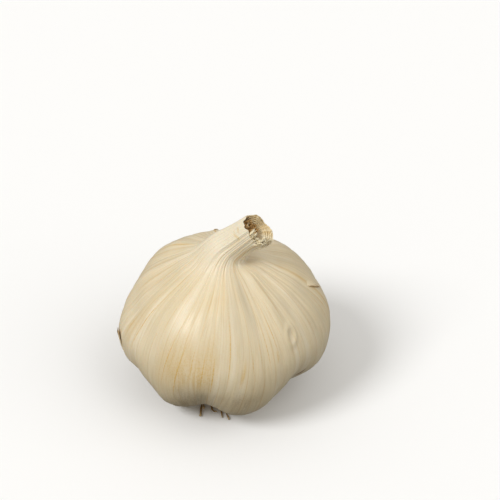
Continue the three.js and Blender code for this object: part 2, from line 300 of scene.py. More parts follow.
# The inner leaves in the cut: how far inside the outer skin each is, how much of a turn it takes, and
# how far it stands over the cut. They are highest on the side that is furthest from the camera.
INNER_LEAVES = [
    (0.5, 0.56, 0.6),
    (0.95, 0.54, 0.35),
    (1.45, 0.52, 0.1),
    (1.95, 0.5, -0.15),
    (2.5, 0.5, -0.4),
]
FAR_SIDE = math.radians(34)
LEAF_THICKNESS = 0.14

# The pith: its strands stand on one side of the cut and spread from there, up to a radius. Beyond
# the spread there are some more, up to PITH_BEYOND times as far, and nearer the middle.
PITH_STRANDS = 190
PITH_SIDE = math.radians(168)
PITH_SPREAD = math.radians(100)
PITH_RADIUS = 3.3
PITH_BEYOND = 1.4
PITH_RADIUS_BEYOND = 1.6
PITH_GAP = 0.4  # under its strands
PITH_TOPS = (-1.4, 0.3)  # how far from the cut they end

# Torn shreds and fibres, most of them on the lower side of the cut
SHREDS = 70
SHREDS_FROM = math.radians(294)
SHRED_THICKNESS = 0.1
SHRED_SUNK = 1.2  # how deep their foot is under the rim
FIBRES = 30
FIBRE_RADIUS = 0.06

# Loose flakes of skin: azimuth and half width in degrees, where their foot and tip are along the
# meridian, how far the tip stands off, how much narrower it is, and how far it slopes to one side
FLAKES = [
    (188, 9.0, 0.34, 0.476, 0.8, 0.75, 0.0),
    (-1.4, 4.2, 0.65, 0.606, 0.35, 0.1, 0.018),
    (98, 2.6, 0.645, 0.665, 0.15, 0.6, 0.0),
]
FLAKE_THICKNESS = 0.15
FLAKE_SUNK = 0.24  # how deep its foot is in the skin
FLAKE_CURVE = 0.3  # how much deeper the foot's corners are

# A root, in mm: how far round and how long it is on the average, and how far apart its wrinkles and
# its rings are
ROOT_SIZE = (2.1, 15.6)
ROOT_WRINKLE = (0.3, 0.6)

# An inner leaf, in mm: how far across and how high it is, and how wide and long its fibres are. On the
# flakes and shreds, which are smaller, the fibres are finer.
LEAF_SIZE = (13.6, 6)
LEAF_FIBRE = (0.4, 2.4)


def clamp(value, low=0.0, high=1.0):
    return max(low, min(high, value))


def ease(value, start, end):
    """0 before start, 1 after end, and smooth between them."""
    share = clamp((value - start) / (end - start))
    return share * share * (3 - 2 * share)


def mix(a, b, share):
    return a + (b - a) * share


def linear(hex_colour):
    """An sRGB hex colour as linear red, green, blue and alpha."""
    channels = [int(hex_colour[i : i + 2], 16) / 255 for i in (1, 3, 5)]
    return [c / 12.92 if c <= 0.04045 else ((c + 0.055) / 1.055) ** 2.4 for c in channels] + [1]


# The form of the bulb

ASIDE = Vector((math.cos(NECK_AZIMUTH), math.sin(NECK_AZIMUTH), 0))
ACROSS = UP.cross(ASIDE)
AXIS_STEP = 0.25


def lean_at(height):
    """How far the axis has leaned over, at a height measured along it."""
    return NECK_LEAN * ease(height, BEND_FROM, BEND_TO)


def bent_axis():
    """Points along the axis above where it starts to bend, a small step apart."""
    points = [BEND_FROM * UP]
    while BEND_FROM + len(points) * AXIS_STEP < CUT_HEIGHT + 8:
        lean = lean_at(BEND_FROM + (len(points) - 0.5) * AXIS_STEP)
        points.append(points[-1] + AXIS_STEP * (math.sin(lean) * ASIDE + math.cos(lean) * UP))
    return points


AXIS = bent_axis()


def settle(p):
    """Carries a point of the upright bulb to where it is on the real one: the foot is drawn to one
    side, and the neck leans to the other."""
    if p.z <= BEND_FROM:
        down = 1 - clamp(p.z / BEND_FROM)
        return Vector((p.x + ROOT_OFFSET * down * down, p.y, p.z))
    steps = (p.z - BEND_FROM) / AXIS_STEP
    before = min(int(steps), len(AXIS) - 2)
    middle = AXIS[before].lerp(AXIS[before + 1], steps - before)
    lean = lean_at(p.z)
    side = math.cos(lean) * ASIDE - math.sin(lean) * UP
    return middle + p.dot(ASIDE) * side + p.dot(ACROSS) * ACROSS


def placed(p):
    """A point of the upright bulb, in millimetres, at its place in the scene, in metres."""
    return (settle(p) + MIDDLE) * MM


@functools.lru_cache(maxsize=None)
def meridian(rise):
    """The mean side at a rise from 0 at the root hollow to 1 at the cut: radius, height and the unit
    slope along it."""
    spans = len(MERIDIAN) - 1
    first = min(max(int(rise * spans), 0), spans - 1)
    t = rise * spans - first
    ends = [Vector(MERIDIAN[min(max(first + i, 0), spans)]) for i in (-1, 0, 1, 2)]
    start_slope = (ends[2] - ends[0]) / 2
    end_slope = (ends[3] - ends[1]) / 2
    cubic = 2 * (ends[1] - ends[2]) + start_slope + end_slope
    square = 3 * (ends[2] - ends[1]) - 2 * start_slope - end_slope
    point = ends[1] + t * (start_slope + t * (square + t * cubic))
    slope = (start_slope + t * (2 * square + t * 3 * cubic)).normalized()
    return point.x, point.y, slope.x, slope.y


def clove_at(angle):
    """Which clove an angle falls on, and how far across it, from 0 to 1."""
    degrees = math.degrees(angle)
    for i, clove in enumerate(CLOVES):
        end = CLOVES[i + 1]["groove"] if i + 1 < len(CLOVES) else CLOVES[0]["groove"] + 360
        width = end - clove["groove"]
        past = (degrees - clove["groove"]) % 360
        if past < width:
            return i, past / width
    return 0, 0.0


def measure_at(name, clove, share):
    """A measure of the cloves: its own on the crown of each, and half way in the grooves."""
    beside = (clove + (-1 if share < 0.5 else 1)) % len(CLOVES)
    return mix(CLOVES[clove][name], CLOVES[beside][name], 0.5 * ease(abs(2 * share - 1), 0, 1))


def fullness(share, exponent):
    """How full a clove is across its width: 0 in the groove, 1 on its crown."""
    soft = 0.4
    wave = math.hypot(math.sin(math.pi * share), soft)
    return max(0.0, (wave - soft) / (math.hypot(1, soft) - soft)) ** exponent


def band(rise, start, full, fade, end):
    """0 before start and after end, 1 from full to fade, and smooth between them."""
    return ease(rise, start, full) * (1 - ease(rise, fade, end))


def clove_relief(rise, angle):
    """The relief of the cloves, out from the mean side."""
    clove, share = clove_at(angle)
    depth = mix(CLOVES[clove]["depth"], CLOVES[(clove + 1) % len(CLOVES)]["depth"], share)
    full = fullness(share, mix(1.25, 0.75, ease(rise, 0.15, 0.4)))
    groove = depth * (full - 1) * (1 - 0.8 * ease(rise, 0.33, 0.52)) * (1 - ease(rise, 0.5, 0.8))
    return (
        groove
        + measure_at("foot", clove, share) * band(rise, 0.12, 0.26, 0.32, 0.42)
        + measure_at("belly", clove, share) * band(rise, 0.26, 0.42, 0.48, 0.66)
        + measure_at("shoulder", clove, share) * band(rise, 0.46, 0.58, 0.66, 0.78)
    )


def neck_relief(rise, angle):
    """The pleats where the skin gathers into the neck, and the neck's ribs."""
    pleats = 0.5 * math.cos(11 * angle + 0.6) + 0.5 * math.cos(17 * angle + 2.1)
    gathered = ease(rise, 0.6, 0.82) * (1 - 0.6 * ease(rise, 0.86, 1))
    return PLEAT_HEIGHT * pleats * gathered + RIB_HEIGHT * math.cos(RIBS * angle) * ease(rise, 0.76, 0.86)


def underside(angle):
    """How much an angle is on the underside of the neck, from 0 to 1."""
    return max(0.0, math.cos(angle - FLARE_ANGLE)) ** 1.5


def roughness_at(angle):
    """How rough the torn edge is: 1, and little on the wide side of the neck, where it is smooth."""
    return 1 - 0.85 * ease(math.cos(angle - WIDE_SIDE), -0.3, 0.5)


def tear(angle):
    """The torn edge of the outer skin: how far it stands above or below the cut."""
    frill = 0.5 * math.sin(19 * angle) + 0.5 * math.sin(28 * angle + 2)
    teeth = 0.25 * math.sin(11 * angle + 1) + 0.7 * frill * underside(angle)
    return 0.45 * math.cos(angle - 2.8) + 0.35 * math.sin(5 * angle) + roughness_at(angle) * teeth


def skin_point(rise, angle, proud=0.0, inward=0.0):
    """A point of the outer skin on the upright bulb, or one that stands proud of it or, in the neck,
    lies inward of it. The fine skin opens a little more than the solid on the neck's wide side."""
    radius, height, slope_out, slope_up = meridian(rise)
    ripple = 0.35 * math.cos(16 * angle) * roughness_at(angle)
    frill = underside(angle) * (FLARE + ripple) * ease(rise, 0.93, 1.02)
    frill += WIDE_FLARE * max(0.0, math.cos(angle - WIDE_SIDE)) * ease(rise, 0.92, 1.0)
    out = clove_relief(rise, angle) + neck_relief(rise, angle) + frill + proud
    r = radius + slope_up * out - inward
    z = height - slope_out * out + tear(angle) * ease(rise, 0.85, 1)
    return Vector((r * math.cos(angle), r * math.sin(angle), max(z, 0)))


# The fine relief of the skin

def vein_phase(turn):
    """Counts the veins round the bulb, which are unevenly spaced: each whole number is a vein."""
    waves = (size * math.sin(TURN * count * turn + start) for size, count, start in VEIN_SPACING)
    return VEINS * turn + sum(waves)


def wander(turn, rise):
    """How far the veins wander to the side as they run up, in turns."""
    swing = sum(
        size * math.sin(TURN * (around * turn + along * rise) + start)
        for size, around, along, start in VEIN_WANDER
    )
    return swing * band(rise, 0.05, 0.3, 0.6, 0.85)


def skin_angle(turn, rise):
    """The angle that a column of the grid is at. The columns follow the veins."""
    return SEAM + TURN * (turn + wander(turn, rise))


def dimple(turn, rise):
    """A small crumpled dimple, with curved wrinkles round it."""
    at_turn, at_rise, radius, depth = DIMPLE
    across = (turn - at_turn) * TURN * BELLY_RADIUS / radius
    along = (rise - at_rise) * MERIDIAN_LENGTH / radius
    away = math.hypot(0.85 * across, 0.85 * along - 0.3 * across)
    return depth * math.cos(7.5 * away + 2.6) * (1 - ease(away, 0.25, 1))


def unevenness(kind, angle, rise):
    """How far one kind of fine relief stands out or in."""
    height, around, along, start = FINE_RELIEF[kind]
    place = around * Vector((math.cos(angle), math.sin(angle), 0)) + (along * rise + start) * UP
    return height * noise.noise(place)


def fine_relief(turn, rise):
    """Between its veins the skin is slightly full. It lies in long soft folds, and gathers in small
    pleats and grooves where it runs up into the neck."""
    angle = skin_angle(turn, rise)
    radius = meridian(rise)[0]
    across = vein_phase(turn) % 1
    pillow = 4 * across * (1 - across)
    on_neck = ease(rise, 0.64, 0.86)
    spacing = TURN * radius / VEINS
    fullest = mix(BELLY_FULLNESS, NECK_FULLNESS, on_neck) * spacing
    swell = fullest * (pillow ** mix(1, 0.6, on_neck) - 0.5)
    folds = sum(unevenness(kind, angle, rise) for kind in ("folds", "small folds", "wrinkles"))
    folds *= mix(1, 0.2, ease(rise, 0.74, 0.86)) * ease(rise, 0.1, 0.25)
    pleats = unevenness("pleats", angle, rise) * band(rise, 0.58, 0.7, 0.78, 0.9)
    grooves = unevenness("grooves", angle, rise) * ease(rise, 0.76, 0.88)
    return swell + folds + pleats + grooves + dimple(turn, rise)


def rim_detail(angle):
    """How much higher the torn edge is than on the solid: its small notches, and its wide side."""
    notches = noise.noise(Vector((math.cos(angle), math.sin(angle), 0)) * 9)
    splits = noise.noise(Vector((math.cos(angle), math.sin(angle), 2)) * 3)
    wide = WIDE_RIM * ease(math.cos(angle - WIDE_SIDE), 0.2, 1.0)
    return roughness_at(angle) * (0.4 * notches + 0.3 * math.sin(43 * angle) * splits) + wide


# Mesh helpers

def wrap(mesh, columns, rows, place):
    """Adds a closed skin to a mesh. place gives its point at a turn and a share of its rows, which both
    run from 0 to 1. Each end row is one point."""
    mesh.loops.layers.uv.verify()
    made = bmesh.ops.create_grid(mesh, x_segments=columns, y_segments=rows, size=0.5, calc_uvs=True)
    for vertex in made["verts"]:
        vertex.co = place(vertex.co.x + 0.5, vertex.co.y + 0.5)
    bmesh.ops.remove_doubles(mesh, verts=made["verts"], dist=1e-7)


def smooth_line(points, steps):
    """A smooth line through points, with that many steps between two of them."""
    line = []
    last = len(points) - 1
    for i in range(last):
        a, b, c, d = (points[min(max(i + k, 0), last)] for k in (-1, 0, 1, 2))
        for step in range(steps):
            t = step / steps
            bend = 2 * (b - c) + (c - a) / 2 + (d - b) / 2
            rest = 3 * (c - b) - (c - a) - (d - b) / 2
            line.append(b + t * ((c - a) / 2 + t * (rest + t * bend)))
    return line + [points[-1]]


def add_strand(mesh, line, radius_at, sides):
    """Adds a closed strand along a line. radius_at gives its radius at a share of its length."""
    last = len(line) - 1
    side = (line[1] - line[0]).orthogonal()
    rings = []
    for i, point in enumerate(line):
        along = (line[min(i + 1, last)] - line[max(i - 1, 0)]).normalized()
        side = (side - along * side.dot(along)).normalized()
        rings.append((point, side, along.cross(side)))
    rings = [rings[0], *rings, rings[-1]]

    def place(turn, share):
        ring = round(share * (len(rings) - 1))
        centre, first_way, second_way = rings[ring]
        if ring in (0, len(rings) - 1):
            return centre
        radius = radius_at((ring - 1) / last)
        angle = TURN * turn
        return centre + radius * (math.cos(angle) * first_way + math.sin(angle) * second_way)

    wrap(mesh, sides, len(rings) - 1, place)


def linked_faces(vertex):
    """The faces of the whole body that a vertex is on."""
    found, waiting = set(), list(vertex.link_faces)
    while waiting:
        face = waiting.pop()
        if face not in found:
            found.add(face)
            waiting += [other for edge in face.edges for other in edge.link_faces]
    return found


def add_sheet(mesh, columns, rows, thickness, place):
    """Adds a thin closed sheet, with its faces outwards. place gives the point of one side at a share
    across and a share along it, which both run from 0 to 1."""
    mesh.loops.layers.uv.verify()
    volume_before = mesh.calc_volume(signed=True)
    made = bmesh.ops.create_grid(mesh, x_segments=columns, y_segments=rows, size=0.5, calc_uvs=True)
    for vertex in made["verts"]:
        vertex.co = place(vertex.co.x + 0.5, vertex.co.y + 0.5)
    faces = list({face for vertex in made["verts"] for face in vertex.link_faces})
    bmesh.ops.recalc_face_normals(mesh, faces=faces)
    mesh.normal_update()
    pushed = {tuple(vertex.co): thickness * vertex.normal for vertex in made["verts"]}
    extruded = bmesh.ops.extrude_face_region(mesh, geom=faces, use_keep_orig=True)["geom"]
    for vertex in extruded:
        if isinstance(vertex, bmesh.types.BMVert):
            vertex.co += pushed[tuple(vertex.co)]
    faces = list(linked_faces(made["verts"][0]))
    bmesh.ops.recalc_face_normals(mesh, faces=faces)
    if mesh.calc_volume(signed=True) < volume_before:
        bmesh.ops.reverse_faces(mesh, faces=faces)


def make_piece(name, mesh, material, slot, *nodes):
    """Makes an object of a mesh, which rides on the bulb and may replace nodes of the frame."""
    data = bpy.data.meshes.new(name)
    mesh.to_mesh(data)
    mesh.free()
    data.materials.append(material)
    data.shade_smooth()
    piece = bpy.data.objects.new(name, data)
    bpy.context.scene.collection.objects.link(piece)
    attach(piece, "root")
    if nodes:
        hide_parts(*nodes)


# Materials

def add_node(tree, kind, settings=None, links=None):
    """Adds a node of a kind. Settings are its properties, and its inputs' values by name or number.
    Links are what its inputs take: an output, or a node for its first output."""
    node = tree.nodes.new("ShaderNode" + kind)
    for name, value in (settings or {}).items():
        if isinstance(name, str) and hasattr(node, name):
            setattr(node, name, value)
        else:
            node.inputs[name].default_value = value
    for name, source in (links or {}).items():
        tree.links.new(getattr(source, "outputs", [source])[0], node.inputs[name])
    return node


def new_material(name, **values):
    """A material, and the values of its shader that are the same all over it."""
    material = bpy.data.materials.new(name)
    material.use_nodes = True
    shader = material.node_tree.nodes["Principled BSDF"]
    for label, value in values.items():
        shader.inputs[label.replace("_", " ")].default_value = value
    return material, material.node_tree, shader


def paint(tree, shader, base, coats):
    """Colours a surface: a base colour, and coats of other tints over it, each with how much of it
    shows."""
    below = None
    for tint, amount in coats:
        settings = {"data_type": "RGBA", 6: linear(base), 7: linear(tint)}
        links = {0: amount} if below is None else {0: amount, 6: below}
        below = add_node(tree, "Mix", settings, links).outputs[2]
    tree.links.new(below, shader.inputs["Base Color"])


def spot(tree, turn, rise, at, drift, middle, half_width, half_length):
    """1 in the middle of a long spot on the skin, and 0 from its edge on. Its place across is at,
    where the rise is 0.6, and drifts from there."""
    straight = add_node(tree, "Math", {"operation": "MULTIPLY_ADD", 1: -drift}, {0: rise, 2: turn})
    centred = add_node(tree, "CombineXYZ", links={0: straight, 1: rise})
    scale = Vector((1 / half_width, 1 / half_length, 0))
    offset = Vector((-(at - 0.6 * drift) / half_width, -middle / half_length, 0))
    scaled = add_node(tree, "VectorMath", {"operation": "MULTIPLY_ADD", 1: scale, 2: offset}, {0: centred})
    away = add_node(tree, "VectorMath", {"operation": "LENGTH"}, {0: scaled}).outputs[1]
    return add_node(
        tree, "MapRange", {"interpolation_type": "SMOOTHSTEP", 1: 0.0, 2: 1.0, 3: 1.0, 4: 0.0}, {0: away}
    )


def sum_of(tree, amounts, strengths):
    """A weighted sum of amounts, which stays between 0 and 1."""
    total = None
    for amount, strength in zip(amounts, strengths):
        links = {0: amount} if total is None else {0: amount, 2: total}
        settings = {"operation": "MULTIPLY_ADD", "use_clamp": True, 1: strength, 2: 0.0}
        total = add_node(tree, "Math", settings, links)
    return total


def skin_coordinates(tree):
    """Where a point of the skin is: its turn and rise, as in skin_place, its place round the bulb and
    up its side, whose unit is the belly's radius, and the count of the veins, as in vein_phase."""
    parts = add_node(tree, "SeparateXYZ", links={0: add_node(tree, "UVMap")})
    turn = parts.outputs[0]
    first, last = CEILING_ROWS / ROWS, (CEILING_ROWS + SIDE_ROWS) / ROWS
    rise = add_node(tree, "MapRange", {"clamp": False, 1: first, 2: last}, {0: parts.outputs[1]})
    angle = add_node(tree, "Math", {"operation": "MULTIPLY", 1: TURN}, {0: turn})
    cosine = add_node(tree, "Math", {"operation": "COSINE"}, {0: angle})
    sine = add_node(tree, "Math", {"operation": "SINE"}, {0: angle})
    height = add_node(tree, "Math", {"operation": "MULTIPLY", 1: MERIDIAN_LENGTH / BELLY_RADIUS}, {0: rise})
    around = add_node(tree, "CombineXYZ", links={0: cosine, 1: sine, 2: height})
    phase = add_node(tree, "Math", {"operation": "MULTIPLY", 1: VEINS}, {0: turn})
    for size, count, start in VEIN_SPACING:
        inner = add_node(tree, "Math", {"operation": "MULTIPLY_ADD", 1: count, 2: start}, {0: angle})
        wave = add_node(tree, "Math", {"operation": "SINE"}, {0: inner})
        phase = add_node(tree, "Math", {"operation": "MULTIPLY_ADD", 1: size}, {0: wave, 2: phase})
    return turn, rise, around, phase


def small_veins(tree, rise, phase, count, width, strength):
    """How much the small veins show. Each has a strength of its own, and comes and goes along it."""
    fine = add_node(tree, "Math", {"operation": "MULTIPLY", 1: count}, {0: phase})
    away = add_node(tree, "Math", {"operation": "PINGPONG", 1: 0.5}, {0: fine})
    wide = add_node(tree, "MapRange", {1: 0.55, 2: 0.85, 3: width, 4: 3 * width}, {0: rise})
    fade = {"interpolation_type": "SMOOTHSTEP", 3: 1.0, 4: 0.0}
    line = add_node(tree, "MapRange", fade, {0: away, 2: wide})
    nearest = add_node(tree, "Math", {"operation": "ROUND"}, {0: fine})
    index = add_node(tree, "Math", {"operation": "FLOORED_MODULO", 1: VEINS * count}, {0: nearest})
    own = add_node(tree, "TexWhiteNoise", {"noise_dimensions": "1D"}, {"W": index})
    along = add_node(tree, "Math", {"operation": "MULTIPLY", 1: 5.0}, {0: rise})
    place = add_node(tree, "CombineXYZ", links={0: index, 1: along})
    stretches = {"noise_dimensions": "2D", "Scale": 0.9, "Detail": 2.0}
    comes = add_node(tree, "TexNoise", stretches, {0: place})
    shown = add_node(tree, "MapRange", {1: 0.38, 2: 0.62, 3: 0.1, 4: strength}, {0: comes})
    shown = add_node(tree, "Math", {"operation": "MULTIPLY"}, {0: shown, 1: own})
    return add_node(tree, "Math", {"operation": "MULTIPLY"}, {0: shown, 1: line})


def hidden_veins():
    """Veins for the sides and the back, in the form of MAIN_VEINS."""
    draw = random.Random(21)
    for i in range(HIDDEN_VEINS):
        at = (HIDDEN_FROM + HIDDEN_SPREAD * (i + draw.uniform(0.1, 0.9)) / HIDDEN_VEINS) % 1
        drift = draw.uniform(-0.05, 0.05)
        middle = draw.uniform(0.5, 0.66)
        half_length = draw.uniform(0.08, 0.16)
        yield at, drift, middle, half_length, draw.uniform(0.3, 1)


def strong_veins(tree, turn, rise):
    """How much the strongest veins show."""
    veins = [*MAIN_VEINS, *hidden_veins()]
    half_width = VEIN_HALF_WIDTH / (TURN * BELLY_RADIUS)
    lines = [
        spot(tree, turn, rise, at, drift, middle, half_width, half_length)
        for at, drift, middle, half_length, _ in veins
    ]
    return sum_of(tree, lines, [vein[-1] for vein in veins])


def skin_patches(tree, turn, rise, patches, pattern, low, high):
    """How much patches of the skin show, where they follow a pattern from low to high."""
    spots = [spot(tree, turn, rise, patch[0], PATCH_DRIFT, *patch[1:-1]) for patch in patches]
    whole = sum_of(tree, spots, [patch[-1] for patch in patches])
    uneven = add_node(tree, "MapRange", {1: 0.4, 2: 0.6, 3: low, 4: high}, {0: pattern})
    return add_node(tree, "Math", {"operation": "MULTIPLY"}, {0: whole, 1: uneven})


def skin_material():
    """Dry garlic leaf skin: a satin paper of fine parallel fibres, slightly see-through, so light
    spreads in it. It is ivory, with tan veins along it, and brownish stains where soil water dried."""
    material, tree, shader = new_material(
        "papery garlic skin",
        Specular_IOR_Level=0.55,
        Subsurface_Weight=0.12,
        Subsurface_Radius=(1.0, 0.6, 0.35),
        Subsurface_Scale=0.9 * MM,
    )
    turn, rise, around, phase = skin_coordinates(tree)
    squeezed = add_node(tree, "Mapping", {"Scale": (1, 1, STREAK_SHAPE)}, {0: around})
    fibres, streaks, clouds, grain = (
        add_node(tree, "TexNoise", {"Scale": BELLY_RADIUS / size, "Detail": detail}, {"Vector": place})
        for size, detail, place in (
            (FIBRE_WIDTH, 3.0, squeezed),
            (STREAK_WIDTH, 2.0, squeezed),
            (CLOUD_SIZE, 4.0, around),
            (GRAIN_SIZE, 2.0, around),
        )
    )
    speckle = sum_of(tree, [fibres, grain, streaks], [0.4, 0.35, 0.25])

    coats = [(SKIN_CREAM, clouds)]
    for pattern, tint, low, high, most in (
        (streaks, SKIN_PALE_AND_HIGHLIGHT, 0.52, 0.7, 0.5),
        (fibres, SKIN_DULL, 0.5, 0.72, 0.4),
        (grain, SKIN_DULL, 0.5, 0.8, 0.22),
    ):
        coats.append((tint, add_node(tree, "MapRange", {1: low, 2: high, 3: 0.0, 4: most}, {0: pattern})))
    for veins in SMALL_VEINS:
        coats.append((VEIN_TAN, small_veins(tree, rise, phase, *veins)))
    strong = strong_veins(tree, turn, rise)
    broken = add_node(tree, "MapRange", {1: 0.35, 2: 0.6, 3: 0.5, 4: 1.3}, {0: grain})
    coats.append((VEIN_ORANGE, add_node(tree, "Math", {"operation": "MULTIPLY"}, {0: strong, 1: broken})))

    # The neck is the palest, its torn edge and its inside are tan, and painted shade darkens the skin
    # towards the roots.
    for tint, start, full, most in (
        (SKIN_PALE_AND_HIGHLIGHT, 0.72, 0.86, 0.8),
        (INSIDE_TAN, 1.0, 1.012, 0.75),
        (LOW_SHADE_BROWN, 0.4, 0.12, 0.6),
    ):
        coats.append((tint, add_node(tree, "MapRange", {1: start, 2: full, 3: 0.0, 4: most}, {0: rise})))
    for tint, *patches in (
        # A painted highlight
        (SKIN_PALE_AND_HIGHLIGHT, HIGHLIGHT_PATCHES, clouds, 0.4, 1.0),
        # Painted shade, partly over duller skin
        (SHADE_AND_DULL_GREY, SHADE_AND_DULL_PATCHES, streaks, 0.4, 1.0),
        (STAIN_TAN, STAINS, speckle, 0.25, 0.85),
        # Painted shade low down, in patches
        (LOW_SHADE_BROWN, LOW_SHADE_PATCHES, speckle, 0.35, 0.9),
    ):
        coats.append((tint, skin_patches(tree, turn, rise, *patches)))
    # Painted shade in the creases low down, in the pith's brown
    crease_shadows = [spot(tree, turn, rise, *crease[:-1]) for crease in CREASE_SHADOWS]
    coats.append((PITH_BROWN, sum_of(tree, crease_shadows, [crease[-1] for crease in CREASE_SHADOWS])))

    # Tan lines in the gathers of the neck, where the unit of squeezed is the neck's radius
    fine = {"Scale": NECK_RADIUS / GATHER_WIDTH, "Detail": 1.0}
    gathers = add_node(tree, "TexNoise", fine, {"Vector": squeezed})
    lines = add_node(tree, "MapRange", {1: 0.5, 2: 0.36, 3: 0.0, 4: 0.6}, {0: gathers})
    gathered = spot(tree, turn, rise, *GATHERS)
    coats.append((VEIN_TAN, add_node(tree, "Math", {"operation": "MULTIPLY"}, {0: gathered, 1: lines})))
    paint(tree, shader, SKIN_IVORY, coats)

    roughness = add_node(tree, "MapRange", {1: 0.3, 2: 0.7, 3: 0.36, 4: 0.5}, {0: streaks})
    tree.links.new(roughness.outputs[0], shader.inputs["Roughness"])
    relief = sum_of(tree, [fibres, grain, strong], [0.5, 0.25, 0.25])
    bump = add_node(tree, "Bump", {"Strength": 0.5, "Distance": 0.15 * MM}, {"Height": relief})
    tree.links.new(bump.outputs[0], shader.inputs["Normal"])
    return material


def dry_leaf_material(name, pale, dull, edge, edge_from):
    """Dry leaf: matt paper with fibres along it, which turns another colour towards its torn end."""
    material, tree, shader = new_material(name, Roughness=0.62)
    uv = add_node(tree, "UVMap")
    along = add_node(tree, "SeparateXYZ", links={0: uv}).outputs[1]
    scale = [size / fibre for size, fibre in zip(LEAF_SIZE, LEAF_FIBRE)]
    squeezed = add_node(tree, "Mapping", {"Scale": (*scale, 1)}, {0: uv})
    fibres = add_node(tree, "TexNoise", {"Scale": 1.0, "Detail": 3.0}, {"Vector": squeezed})
    spread = add_node(tree, "MapRange", {1: 0.35, 2: 0.65}, {0: fibres})
    uneven = add_node(tree, "Math", {"operation": "MULTIPLY_ADD", 1: 0.3}, {0: fibres, 2: along})
    burnt = add_node(tree, "MapRange", {1: edge_from + 0.15, 2: 1.2, 4: 0.9}, {0: uneven})
    paint(tree, shader, pale, [(dull, spread), (edge, burnt)])
    bump = add_node(tree, "Bump", {"Strength": 0.5, "Distance": 0.1 * MM}, {"Height": fibres})
    tree.links.new(bump.outputs[0], shader.inputs["Normal"])
    return material


def crumbly_material(name, light, dark, grain_size, depth):
    """Dry pith or cork: plant matter with no direction, dull, crumbly, and darker in its pits."""
    material, tree, shader = new_material(name, Roughness=0.85, Specular_IOR_Level=0.3)
    place = add_node(tree, "TexCoord").outputs["Object"]
    grains = add_node(tree, "TexNoise", {"Scale": 1 / (grain_size * MM), "Detail": 4.0}, {"Vector": place})
    coarse = {"Scale": 1 / (5 * grain_size * MM), "Detail": 2.0}
    clumps = add_node(tree, "TexNoise", coarse, {"Vector": place})
    both = add_node(tree, "Math", {"operation": "MULTIPLY_ADD", 1: 0.5}, {0: clumps, 2: grains})
    spread = add_node(tree, "MapRange", {1: 0.55, 2: 0.95}, {0: both})
    paint(tree, shader, dark, [(light, spread)])
    bump = add_node(tree, "Bump", {"Strength": 0.7, "Distance": depth * MM}, {"Height": grains})
    tree.links.new(bump.outputs[0], shader.inputs["Normal"])
    return material


def root_material():
    """Dry garlic root: a shrivelled brown thread, wrinkled along and ringed, with a paler broken tip."""
    material, tree, shader = new_material("dry root", Roughness=0.75, Specular_IOR_Level=0.35)
    uv = add_node(tree, "UVMap")
    along = add_node(tree, "SeparateXYZ", links={0: uv}).outputs[1]
    scale = [size / wrinkle for size, wrinkle in zip(ROOT_SIZE, ROOT_WRINKLE)]
    wrinkled = add_node(tree, "Mapping", {"Scale": (*scale, 1)}, {0: uv})
    wrinkles = add_node(tree, "TexNoise", {"Scale": 1.0, "Detail": 3.0}, {"Vector": wrinkled})
    spread = add_node(tree, "MapRange", {1: 0.35, 2: 0.65}, {0: wrinkles})
    broken = add_node(tree, "MapRange", {1: 0.86, 2: 0.97, 4: 0.8}, {0: along})
    paint(tree, shader, ROOT_DARK, [(ROOT_BROWN, spread), (ROOT_TIP, broken)])
    bump = add_node(tree, "Bump", {"Strength": 0.8, "Distance": 0.12 * MM}, {"Height": wrinkles})
    tree.links.new(bump.outputs[0], shader.inputs["Normal"])
    return material


# The pieces

def skin_place(turn, share):
    """The skin in one sheet: the ceiling of the root hollow, the side, and the inside of the neck."""
    row = share * ROWS
    if row < CEILING_ROWS:
        angle = skin_angle(turn, 0)
        r = MERIDIAN[0][0] * row / CEILING_ROWS
        return placed(Vector((r * math.cos(angle), r * math.sin(angle), HOLLOW_CEILING)))
    row -= CEILING_ROWS
    if row <= SIDE_ROWS:
        rise = row / SIDE_ROWS
        angle = skin_angle(turn, rise)
        point = skin_point(rise, angle, proud=fine_relief(turn, rise))
        point.z += rim_detail(angle) * ease(rise, 0.95, 1)
        return placed(point)
    deep = (row - SIDE_ROWS) / INSIDE_ROWS
    if deep > 1 - 1e-6:
        return placed(UP * meridian(RECESS_RISE)[1])
    rise = mix(1, RECESS_RISE, min(1, deep / RECESS_WALL_SHARE))
    angle = skin_angle(turn, rise)
    inward = RIM_WALL * ease(deep, 0, 0.08) + ease(deep, RECESS_WALL_SHARE, 1) * meridian(rise)[0] * 0.6
    point = skin_point(rise, angle, inward=inward)
    point.z += rim_detail(angle) * ease(rise, 0.95, 1)
    return placed(point)


def make_skin(material):
    """The papery skin round the bulb, down into the cut and up into the root hollow."""
    mesh = bmesh.new()
    wrap(mesh, COLUMNS, ROWS, skin_place)
    make_piece("skin", mesh, material, "outer_skin", "wrapped_bulb")


def rim_point(angle, up=0.0, out=0.0):
    """A point of the torn edge on the upright bulb, or one a little above it and out from it."""
    point = skin_point(1, angle)
    r = math.hypot(point.x, point.y) + out
    return Vector((r * math.cos(angle), r * math.sin(angle), point.z + rim_detail(angle) + up))


def make_inner_leaves(material):
    """The inner leaves: thin dry sheets inside the torn neck, one within the other, each with a ragged
    top that stands highest on the far side."""
    mesh = bmesh.new()
    for seed, (inset, share, over) in enumerate(INNER_LEAVES):

        def place(across, along):
            angle = FAR_SIDE + TURN * share * (across - 0.5)
            rise = mix(RECESS_RISE + 0.02, 1, along)
            crumple = noise.noise(Vector((6 * across, 1.5 * along, 7 + 9 * seed)))
            pucker = noise.noise(Vector((30 * across, 1.2 * along, 5 * seed)))
            point = skin_point(rise, angle, inward=inset + 0.12 * crumple + 0.03 * pucker)
            ragged = 0.16 * noise.noise(Vector((7 * across, 3.3, 5 * seed)))
            splits = 0.07 * noise.noise(Vector((42 * across, 8.1, 5 * seed)))
            top = over + 0.75 * math.cos(angle - FAR_SIDE) + ragged + splits
            point.z += top * ease(along, 0.3, 1)
            return placed(point)

        add_sheet(mesh, 110, 18, LEAF_THICKNESS * MM, place)
    make_piece("inner_leaf_sheaths", mesh, material, "inner_leaf", "inner_sheath")


